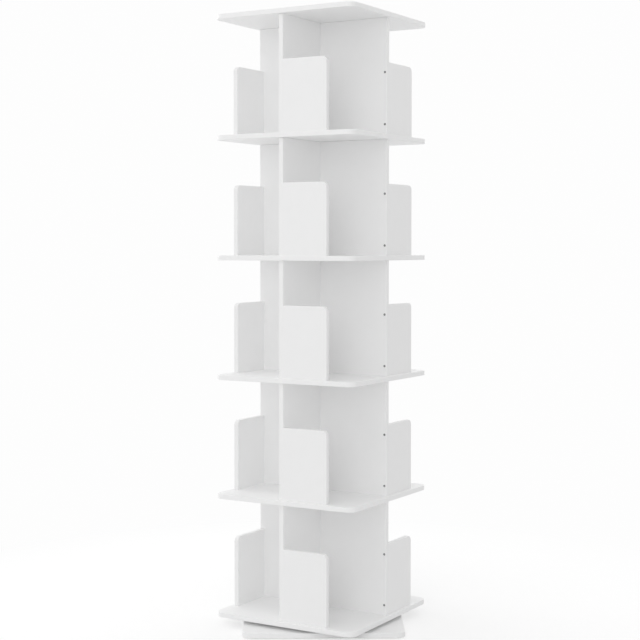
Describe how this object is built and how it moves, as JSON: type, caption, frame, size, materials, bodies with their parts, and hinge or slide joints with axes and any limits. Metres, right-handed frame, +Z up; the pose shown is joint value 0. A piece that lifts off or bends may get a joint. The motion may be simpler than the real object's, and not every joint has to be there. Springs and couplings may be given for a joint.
{
  "type": "revolving bookcase",
  "caption": "Tall white revolving bookcase: square shelves with a pinwheel of uprights and short book guards in each tier, turning on a ring bearing over a square base board.",
  "frame": {"origin": "on the floor under the foot pads, on the axis that the case turns about", "axes": "+Z up along that axis; the case stands square to X and Y at rest, with the base board turned 31.3 degrees under it"},
  "size_m": [0.5308, 0.5308, 1.5343],
  "materials": {
    "white_laminate": "matte white melamine laminate on board, with matching edge band",
    "zinc_steel": "zinc plated",
    "aluminium": "satin extruded",
    "nylon": "moulded, natural",
    "felt": "pressed felt"
  },
  "bodies": {
    "base": {"base_board": "white_laminate", "foot_pad_1": "felt", "foot_pad_2": "felt", "foot_pad_3": "felt", "foot_pad_4": "felt", "turntable_outer_ring": "aluminium", "outer_ring_screw_1": "zinc_steel", "outer_ring_screw_2": "zinc_steel", "outer_ring_screw_3": "zinc_steel"},
    "case": {"bottom_shelf": "white_laminate", "shelf_2": "white_laminate", "shelf_3": "white_laminate", "shelf_4": "white_laminate", "shelf_5": "white_laminate", "top_shelf": "white_laminate", "tier_1_upright_right": "white_laminate", "tier_1_upright_back": "white_laminate", "tier_1_upright_left": "white_laminate", "tier_1_upright_front": "white_laminate", "tier_2_upright_right": "white_laminate", "tier_2_upright_back": "white_laminate", "tier_2_upright_left": "white_laminate", "tier_2_upright_front": "white_laminate", "tier_3_upright_right": "white_laminate", "tier_3_upright_back": "white_laminate", "tier_3_upright_left": "white_laminate", "tier_3_upright_front": "white_laminate", "tier_4_upright_right": "white_laminate", "tier_4_upright_back": "white_laminate", "tier_4_upright_left": "white_laminate", "tier_4_upright_front": "white_laminate", "tier_5_upright_right": "white_laminate", "tier_5_upright_back": "white_laminate", "tier_5_upright_left": "white_laminate", "tier_5_upright_front": "white_laminate", "tier_1_guard_right": "white_laminate", "tier_1_guard_back": "white_laminate", "tier_1_guard_left": "white_laminate", "tier_1_guard_front": "white_laminate", "tier_2_guard_right": "white_laminate", "tier_2_guard_back": "white_laminate", "tier_2_guard_left": "white_laminate", "tier_2_guard_front": "white_laminate", "tier_3_guard_right": "white_laminate", "tier_3_guard_back": "white_laminate", "tier_3_guard_left": "white_laminate", "tier_3_guard_front": "white_laminate", "tier_4_guard_right": "white_laminate", "tier_4_guard_back": "white_laminate", "tier_4_guard_left": "white_laminate", "tier_4_guard_front": "white_laminate", "tier_5_guard_right": "white_laminate", "tier_5_guard_back": "white_laminate", "tier_5_guard_left": "white_laminate", "tier_5_guard_front": "white_laminate", "turntable_inner_ring": "aluminium", "inner_ring_screw_1": "zinc_steel", "inner_ring_screw_2": "zinc_steel", "inner_ring_screw_3": "zinc_steel"},
    "ball_cage": {"turntable_ball_cage": "nylon"}
  },
  "joints": [
    {"name": "case_swivel", "type": "hinge", "parent": "base", "child": "case", "pos_m": [0, 0, 0.0223], "axis": [0, 0, 1], "continuous": true},
    {"name": "ball_cage_orbit", "type": "hinge", "parent": "base", "child": "ball_cage", "pos_m": [0, 0, 0.0183], "axis": [0, 0, 1], "continuous": true}
  ],
  "couplings": [
    {"joint": "ball_cage_orbit", "follows": "case_swivel", "ratio": 0.5}
  ]
}
